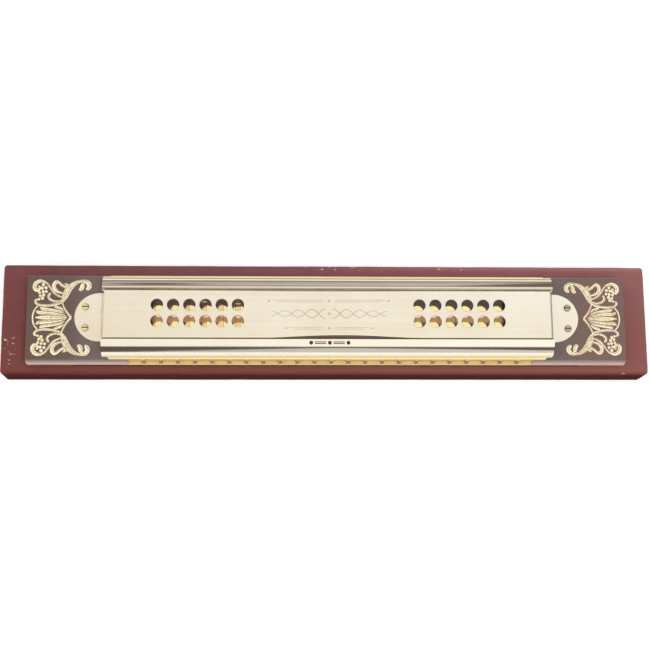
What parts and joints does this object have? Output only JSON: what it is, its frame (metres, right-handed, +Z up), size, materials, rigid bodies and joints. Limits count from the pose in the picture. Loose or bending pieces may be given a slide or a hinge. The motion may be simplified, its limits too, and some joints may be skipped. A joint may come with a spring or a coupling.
{
  "type": "tremolo harmonica",
  "caption": "Long wooden-combed tremolo harmonica with polished pressed covers, brass reed plates and bending reeds, lying in a low fitted case.",
  "frame": {"origin": "bottom centre of the case, on the surface that it stands on", "axes": "+X along the harmonica from the low notes to the high notes, -Y the mouth side, +Z up"},
  "size_m": [0.2574, 0.044, 0.0327],
  "materials": {
    "comb_wood": "black lacquer over wood, with raw golden wood inside the channels and a gold scroll ornament on the ends",
    "reed_plate_brass": "rolled brass, satin",
    "reed_brass": "filed brass, satin",
    "plated_cover": "warm nickel plate, satin brushed on the plateau and tabs, polished on the shoulders",
    "screw_brass": "turned brass, slightly aged",
    "case_paper": "maroon paper over board, worn and scuffed along the edges",
    "case_board": "raw grey-brown board"
  },
  "bodies": {
    "case": {"case_box": "case_paper", "case_platform": "case_paper", "case_rests": "case_board"},
    "harmonica": {"comb": "comb_wood", "upper_reed_plate": "reed_plate_brass", "lower_reed_plate": "reed_plate_brass", "upper_cover": "plated_cover", "lower_cover": "plated_cover", "cover_screws": "screw_brass", "plate_nails": "screw_brass", "reed_rivets": "screw_brass", "reed_pads": "reed_brass"},
    "upper_reed_01": {"upper_reed_01": "reed_brass"},
    "upper_reed_02": {"upper_reed_02": "reed_brass"},
    "upper_reed_03": {"upper_reed_03": "reed_brass"},
    "upper_reed_04": {"upper_reed_04": "reed_brass"},
    "upper_reed_05": {"upper_reed_05": "reed_brass"},
    "upper_reed_06": {"upper_reed_06": "reed_brass"},
    "upper_reed_07": {"upper_reed_07": "reed_brass"},
    "upper_reed_08": {"upper_reed_08": "reed_brass"},
    "upper_reed_09": {"upper_reed_09": "reed_brass"},
    "upper_reed_10": {"upper_reed_10": "reed_brass"},
    "upper_reed_11": {"upper_reed_11": "reed_brass"},
    "upper_reed_12": {"upper_reed_12": "reed_brass"},
    "upper_reed_13": {"upper_reed_13": "reed_brass"},
    "upper_reed_14": {"upper_reed_14": "reed_brass"},
    "upper_reed_15": {"upper_reed_15": "reed_brass"},
    "upper_reed_16": {"upper_reed_16": "reed_brass"},
    "upper_reed_17": {"upper_reed_17": "reed_brass"},
    "upper_reed_18": {"upper_reed_18": "reed_brass"},
    "upper_reed_19": {"upper_reed_19": "reed_brass"},
    "upper_reed_20": {"upper_reed_20": "reed_brass"},
    "upper_reed_21": {"upper_reed_21": "reed_brass"},
    "upper_reed_22": {"upper_reed_22": "reed_brass"},
    "upper_reed_23": {"upper_reed_23": "reed_brass"},
    "upper_reed_24": {"upper_reed_24": "reed_brass"},
    "lower_reed_01": {"lower_reed_01": "reed_brass"},
    "lower_reed_02": {"lower_reed_02": "reed_brass"},
    "lower_reed_03": {"lower_reed_03": "reed_brass"},
    "lower_reed_04": {"lower_reed_04": "reed_brass"},
    "lower_reed_05": {"lower_reed_05": "reed_brass"},
    "lower_reed_06": {"lower_reed_06": "reed_brass"},
    "lower_reed_07": {"lower_reed_07": "reed_brass"},
    "lower_reed_08": {"lower_reed_08": "reed_brass"},
    "lower_reed_09": {"lower_reed_09": "reed_brass"},
    "lower_reed_10": {"lower_reed_10": "reed_brass"},
    "lower_reed_11": {"lower_reed_11": "reed_brass"},
    "lower_reed_12": {"lower_reed_12": "reed_brass"},
    "lower_reed_13": {"lower_reed_13": "reed_brass"},
    "lower_reed_14": {"lower_reed_14": "reed_brass"},
    "lower_reed_15": {"lower_reed_15": "reed_brass"},
    "lower_reed_16": {"lower_reed_16": "reed_brass"},
    "lower_reed_17": {"lower_reed_17": "reed_brass"},
    "lower_reed_18": {"lower_reed_18": "reed_brass"},
    "lower_reed_19": {"lower_reed_19": "reed_brass"},
    "lower_reed_20": {"lower_reed_20": "reed_brass"},
    "lower_reed_21": {"lower_reed_21": "reed_brass"},
    "lower_reed_22": {"lower_reed_22": "reed_brass"},
    "lower_reed_23": {"lower_reed_23": "reed_brass"},
    "lower_reed_24": {"lower_reed_24": "reed_brass"}
  },
  "joints": [
    {"name": "harmonica_lift", "type": "slide", "parent": "case", "child": "harmonica", "axis": [0, 0, 1], "range_m": [0, 0.04]},
    {"name": "upper_reed_01_bend", "type": "hinge", "parent": "harmonica", "child": "upper_reed_01", "pos_m": [-0.07527, 0.0065, 0.02484], "axis": [1, 0, 0], "range_deg": [-3, 3], "stiffness_Nm_per_rad": 0.043},
    {"name": "upper_reed_02_bend", "type": "hinge", "parent": "harmonica", "child": "upper_reed_02", "pos_m": [-0.06863, -0.0125, 0.02616], "axis": [1, 0, 0], "range_deg": [-3, 3], "stiffness_Nm_per_rad": 0.044},
    {"name": "upper_reed_03_bend", "type": "hinge", "parent": "harmonica", "child": "upper_reed_03", "pos_m": [-0.06198, 0.00572, 0.02484], "axis": [1, 0, 0], "range_deg": [-3, 3], "stiffness_Nm_per_rad": 0.045},
    {"name": "upper_reed_04_bend", "type": "hinge", "parent": "harmonica", "child": "upper_reed_04", "pos_m": [-0.05532, -0.0125, 0.02616], "axis": [1, 0, 0], "range_deg": [-3, 3], "stiffness_Nm_per_rad": 0.046},
    {"name": "upper_reed_05_bend", "type": "hinge", "parent": "harmonica", "child": "upper_reed_05", "pos_m": [-0.04868, 0.00493, 0.02484], "axis": [1, 0, 0], "range_deg": [-3, 3], "stiffness_Nm_per_rad": 0.047},
    {"name": "upper_reed_06_bend", "type": "hinge", "parent": "harmonica", "child": "upper_reed_06", "pos_m": [-0.04202, -0.0125, 0.02616], "axis": [1, 0, 0], "range_deg": [-3, 3], "stiffness_Nm_per_rad": 0.048},
    {"name": "upper_reed_07_bend", "type": "hinge", "parent": "harmonica", "child": "upper_reed_07", "pos_m": [-0.03537, 0.00415, 0.02484], "axis": [1, 0, 0], "range_deg": [-3, 3], "stiffness_Nm_per_rad": 0.049},
    {"name": "upper_reed_08_bend", "type": "hinge", "parent": "harmonica", "child": "upper_reed_08", "pos_m": [-0.02873, -0.0125, 0.02616], "axis": [1, 0, 0], "range_deg": [-3, 3], "stiffness_Nm_per_rad": 0.05},
    {"name": "upper_reed_09_bend", "type": "hinge", "parent": "harmonica", "child": "upper_reed_09", "pos_m": [-0.02208, 0.00337, 0.02484], "axis": [1, 0, 0], "range_deg": [-3, 3], "stiffness_Nm_per_rad": 0.052},
    {"name": "upper_reed_10_bend", "type": "hinge", "parent": "harmonica", "child": "upper_reed_10", "pos_m": [-0.01542, -0.0125, 0.02616], "axis": [1, 0, 0], "range_deg": [-3, 3], "stiffness_Nm_per_rad": 0.053},
    {"name": "upper_reed_11_bend", "type": "hinge", "parent": "harmonica", "child": "upper_reed_11", "pos_m": [-0.00877, 0.00259, 0.02484], "axis": [1, 0, 0], "range_deg": [-3, 3], "stiffness_Nm_per_rad": 0.054},
    {"name": "upper_reed_12_bend", "type": "hinge", "parent": "harmonica", "child": "upper_reed_12", "pos_m": [-0.00213, -0.0125, 0.02616], "axis": [1, 0, 0], "range_deg": [-3, 3], "stiffness_Nm_per_rad": 0.056},
    {"name": "upper_reed_13_bend", "type": "hinge", "parent": "harmonica", "child": "upper_reed_13", "pos_m": [0.00453, 0.0018, 0.02484], "axis": [1, 0, 0], "range_deg": [-3, 3], "stiffness_Nm_per_rad": 0.057},
    {"name": "upper_reed_14_bend", "type": "hinge", "parent": "harmonica", "child": "upper_reed_14", "pos_m": [0.01117, -0.0125, 0.02616], "axis": [1, 0, 0], "range_deg": [-3, 3], "stiffness_Nm_per_rad": 0.059},
    {"name": "upper_reed_15_bend", "type": "hinge", "parent": "harmonica", "child": "upper_reed_15", "pos_m": [0.01783, 0.00102, 0.02484], "axis": [1, 0, 0], "range_deg": [-3, 3], "stiffness_Nm_per_rad": 0.061},
    {"name": "upper_reed_16_bend", "type": "hinge", "parent": "harmonica", "child": "upper_reed_16", "pos_m": [0.02448, -0.0125, 0.02616], "axis": [1, 0, 0], "range_deg": [-3, 3], "stiffness_Nm_per_rad": 0.062},
    {"name": "upper_reed_17_bend", "type": "hinge", "parent": "harmonica", "child": "upper_reed_17", "pos_m": [0.03112, 0.00024, 0.02484], "axis": [1, 0, 0], "range_deg": [-3, 3], "stiffness_Nm_per_rad": 0.064},
    {"name": "upper_reed_18_bend", "type": "hinge", "parent": "harmonica", "child": "upper_reed_18", "pos_m": [0.03778, -0.0125, 0.02616], "axis": [1, 0, 0], "range_deg": [-3, 3], "stiffness_Nm_per_rad": 0.066},
    {"name": "upper_reed_19_bend", "type": "hinge", "parent": "harmonica", "child": "upper_reed_19", "pos_m": [0.04442, -0.00054, 0.02484], "axis": [1, 0, 0], "range_deg": [-3, 3], "stiffness_Nm_per_rad": 0.069},
    {"name": "upper_reed_20_bend", "type": "hinge", "parent": "harmonica", "child": "upper_reed_20", "pos_m": [0.05108, -0.0125, 0.02616], "axis": [1, 0, 0], "range_deg": [-3, 3], "stiffness_Nm_per_rad": 0.071},
    {"name": "upper_reed_21_bend", "type": "hinge", "parent": "harmonica", "child": "upper_reed_21", "pos_m": [0.05772, -0.00133, 0.02484], "axis": [1, 0, 0], "range_deg": [-3, 3], "stiffness_Nm_per_rad": 0.073},
    {"name": "upper_reed_22_bend", "type": "hinge", "parent": "harmonica", "child": "upper_reed_22", "pos_m": [0.06438, -0.0125, 0.02616], "axis": [1, 0, 0], "range_deg": [-3, 3], "stiffness_Nm_per_rad": 0.076},
    {"name": "upper_reed_23_bend", "type": "hinge", "parent": "harmonica", "child": "upper_reed_23", "pos_m": [0.07103, -0.00211, 0.02484], "axis": [1, 0, 0], "range_deg": [-3, 3], "stiffness_Nm_per_rad": 0.079},
    {"name": "upper_reed_24_bend", "type": "hinge", "parent": "harmonica", "child": "upper_reed_24", "pos_m": [0.07767, -0.0125, 0.02616], "axis": [1, 0, 0], "range_deg": [-3, 3], "stiffness_Nm_per_rad": 0.082},
    {"name": "lower_reed_01_bend", "type": "hinge", "parent": "harmonica", "child": "lower_reed_01", "pos_m": [-0.07527, 0.0065, 0.01516], "axis": [1, 0, 0], "range_deg": [-3, 3], "stiffness_Nm_per_rad": 0.043},
    {"name": "lower_reed_02_bend", "type": "hinge", "parent": "harmonica", "child": "lower_reed_02", "pos_m": [-0.06863, -0.0125, 0.01384], "axis": [1, 0, 0], "range_deg": [-3, 3], "stiffness_Nm_per_rad": 0.044},
    {"name": "lower_reed_03_bend", "type": "hinge", "parent": "harmonica", "child": "lower_reed_03", "pos_m": [-0.06198, 0.00572, 0.01516], "axis": [1, 0, 0], "range_deg": [-3, 3], "stiffness_Nm_per_rad": 0.045},
    {"name": "lower_reed_04_bend", "type": "hinge", "parent": "harmonica", "child": "lower_reed_04", "pos_m": [-0.05532, -0.0125, 0.01384], "axis": [1, 0, 0], "range_deg": [-3, 3], "stiffness_Nm_per_rad": 0.046},
    {"name": "lower_reed_05_bend", "type": "hinge", "parent": "harmonica", "child": "lower_reed_05", "pos_m": [-0.04868, 0.00493, 0.01516], "axis": [1, 0, 0], "range_deg": [-3, 3], "stiffness_Nm_per_rad": 0.047},
    {"name": "lower_reed_06_bend", "type": "hinge", "parent": "harmonica", "child": "lower_reed_06", "pos_m": [-0.04202, -0.0125, 0.01384], "axis": [1, 0, 0], "range_deg": [-3, 3], "stiffness_Nm_per_rad": 0.048},
    {"name": "lower_reed_07_bend", "type": "hinge", "parent": "harmonica", "child": "lower_reed_07", "pos_m": [-0.03537, 0.00415, 0.01516], "axis": [1, 0, 0], "range_deg": [-3, 3], "stiffness_Nm_per_rad": 0.049},
    {"name": "lower_reed_08_bend", "type": "hinge", "parent": "harmonica", "child": "lower_reed_08", "pos_m": [-0.02873, -0.0125, 0.01384], "axis": [1, 0, 0], "range_deg": [-3, 3], "stiffness_Nm_per_rad": 0.05},
    {"name": "lower_reed_09_bend", "type": "hinge", "parent": "harmonica", "child": "lower_reed_09", "pos_m": [-0.02208, 0.00337, 0.01516], "axis": [1, 0, 0], "range_deg": [-3, 3], "stiffness_Nm_per_rad": 0.052},
    {"name": "lower_reed_10_bend", "type": "hinge", "parent": "harmonica", "child": "lower_reed_10", "pos_m": [-0.01542, -0.0125, 0.01384], "axis": [1, 0, 0], "range_deg": [-3, 3], "stiffness_Nm_per_rad": 0.053},
    {"name": "lower_reed_11_bend", "type": "hinge", "parent": "harmonica", "child": "lower_reed_11", "pos_m": [-0.00877, 0.00259, 0.01516], "axis": [1, 0, 0], "range_deg": [-3, 3], "stiffness_Nm_per_rad": 0.054},
    {"name": "lower_reed_12_bend", "type": "hinge", "parent": "harmonica", "child": "lower_reed_12", "pos_m": [-0.00213, -0.0125, 0.01384], "axis": [1, 0, 0], "range_deg": [-3, 3], "stiffness_Nm_per_rad": 0.056},
    {"name": "lower_reed_13_bend", "type": "hinge", "parent": "harmonica", "child": "lower_reed_13", "pos_m": [0.00453, 0.0018, 0.01516], "axis": [1, 0, 0], "range_deg": [-3, 3], "stiffness_Nm_per_rad": 0.057},
    {"name": "lower_reed_14_bend", "type": "hinge", "parent": "harmonica", "child": "lower_reed_14", "pos_m": [0.01117, -0.0125, 0.01384], "axis": [1, 0, 0], "range_deg": [-3, 3], "stiffness_Nm_per_rad": 0.059},
    {"name": "lower_reed_15_bend", "type": "hinge", "parent": "harmonica", "child": "lower_reed_15", "pos_m": [0.01783, 0.00102, 0.01516], "axis": [1, 0, 0], "range_deg": [-3, 3], "stiffness_Nm_per_rad": 0.061},
    {"name": "lower_reed_16_bend", "type": "hinge", "parent": "harmonica", "child": "lower_reed_16", "pos_m": [0.02448, -0.0125, 0.01384], "axis": [1, 0, 0], "range_deg": [-3, 3], "stiffness_Nm_per_rad": 0.062},
    {"name": "lower_reed_17_bend", "type": "hinge", "parent": "harmonica", "child": "lower_reed_17", "pos_m": [0.03112, 0.00024, 0.01516], "axis": [1, 0, 0], "range_deg": [-3, 3], "stiffness_Nm_per_rad": 0.064},
    {"name": "lower_reed_18_bend", "type": "hinge", "parent": "harmonica", "child": "lower_reed_18", "pos_m": [0.03778, -0.0125, 0.01384], "axis": [1, 0, 0], "range_deg": [-3, 3], "stiffness_Nm_per_rad": 0.066},
    {"name": "lower_reed_19_bend", "type": "hinge", "parent": "harmonica", "child": "lower_reed_19", "pos_m": [0.04442, -0.00054, 0.01516], "axis": [1, 0, 0], "range_deg": [-3, 3], "stiffness_Nm_per_rad": 0.069},
    {"name": "lower_reed_20_bend", "type": "hinge", "parent": "harmonica", "child": "lower_reed_20", "pos_m": [0.05108, -0.0125, 0.01384], "axis": [1, 0, 0], "range_deg": [-3, 3], "stiffness_Nm_per_rad": 0.071},
    {"name": "lower_reed_21_bend", "type": "hinge", "parent": "harmonica", "child": "lower_reed_21", "pos_m": [0.05772, -0.00133, 0.01516], "axis": [1, 0, 0], "range_deg": [-3, 3], "stiffness_Nm_per_rad": 0.073},
    {"name": "lower_reed_22_bend", "type": "hinge", "parent": "harmonica", "child": "lower_reed_22", "pos_m": [0.06438, -0.0125, 0.01384], "axis": [1, 0, 0], "range_deg": [-3, 3], "stiffness_Nm_per_rad": 0.076},
    {"name": "lower_reed_23_bend", "type": "hinge", "parent": "harmonica", "child": "lower_reed_23", "pos_m": [0.07103, -0.00211, 0.01516], "axis": [1, 0, 0], "range_deg": [-3, 3], "stiffness_Nm_per_rad": 0.079},
    {"name": "lower_reed_24_bend", "type": "hinge", "parent": "harmonica", "child": "lower_reed_24", "pos_m": [0.07767, -0.0125, 0.01384], "axis": [1, 0, 0], "range_deg": [-3, 3], "stiffness_Nm_per_rad": 0.082}
  ]
}
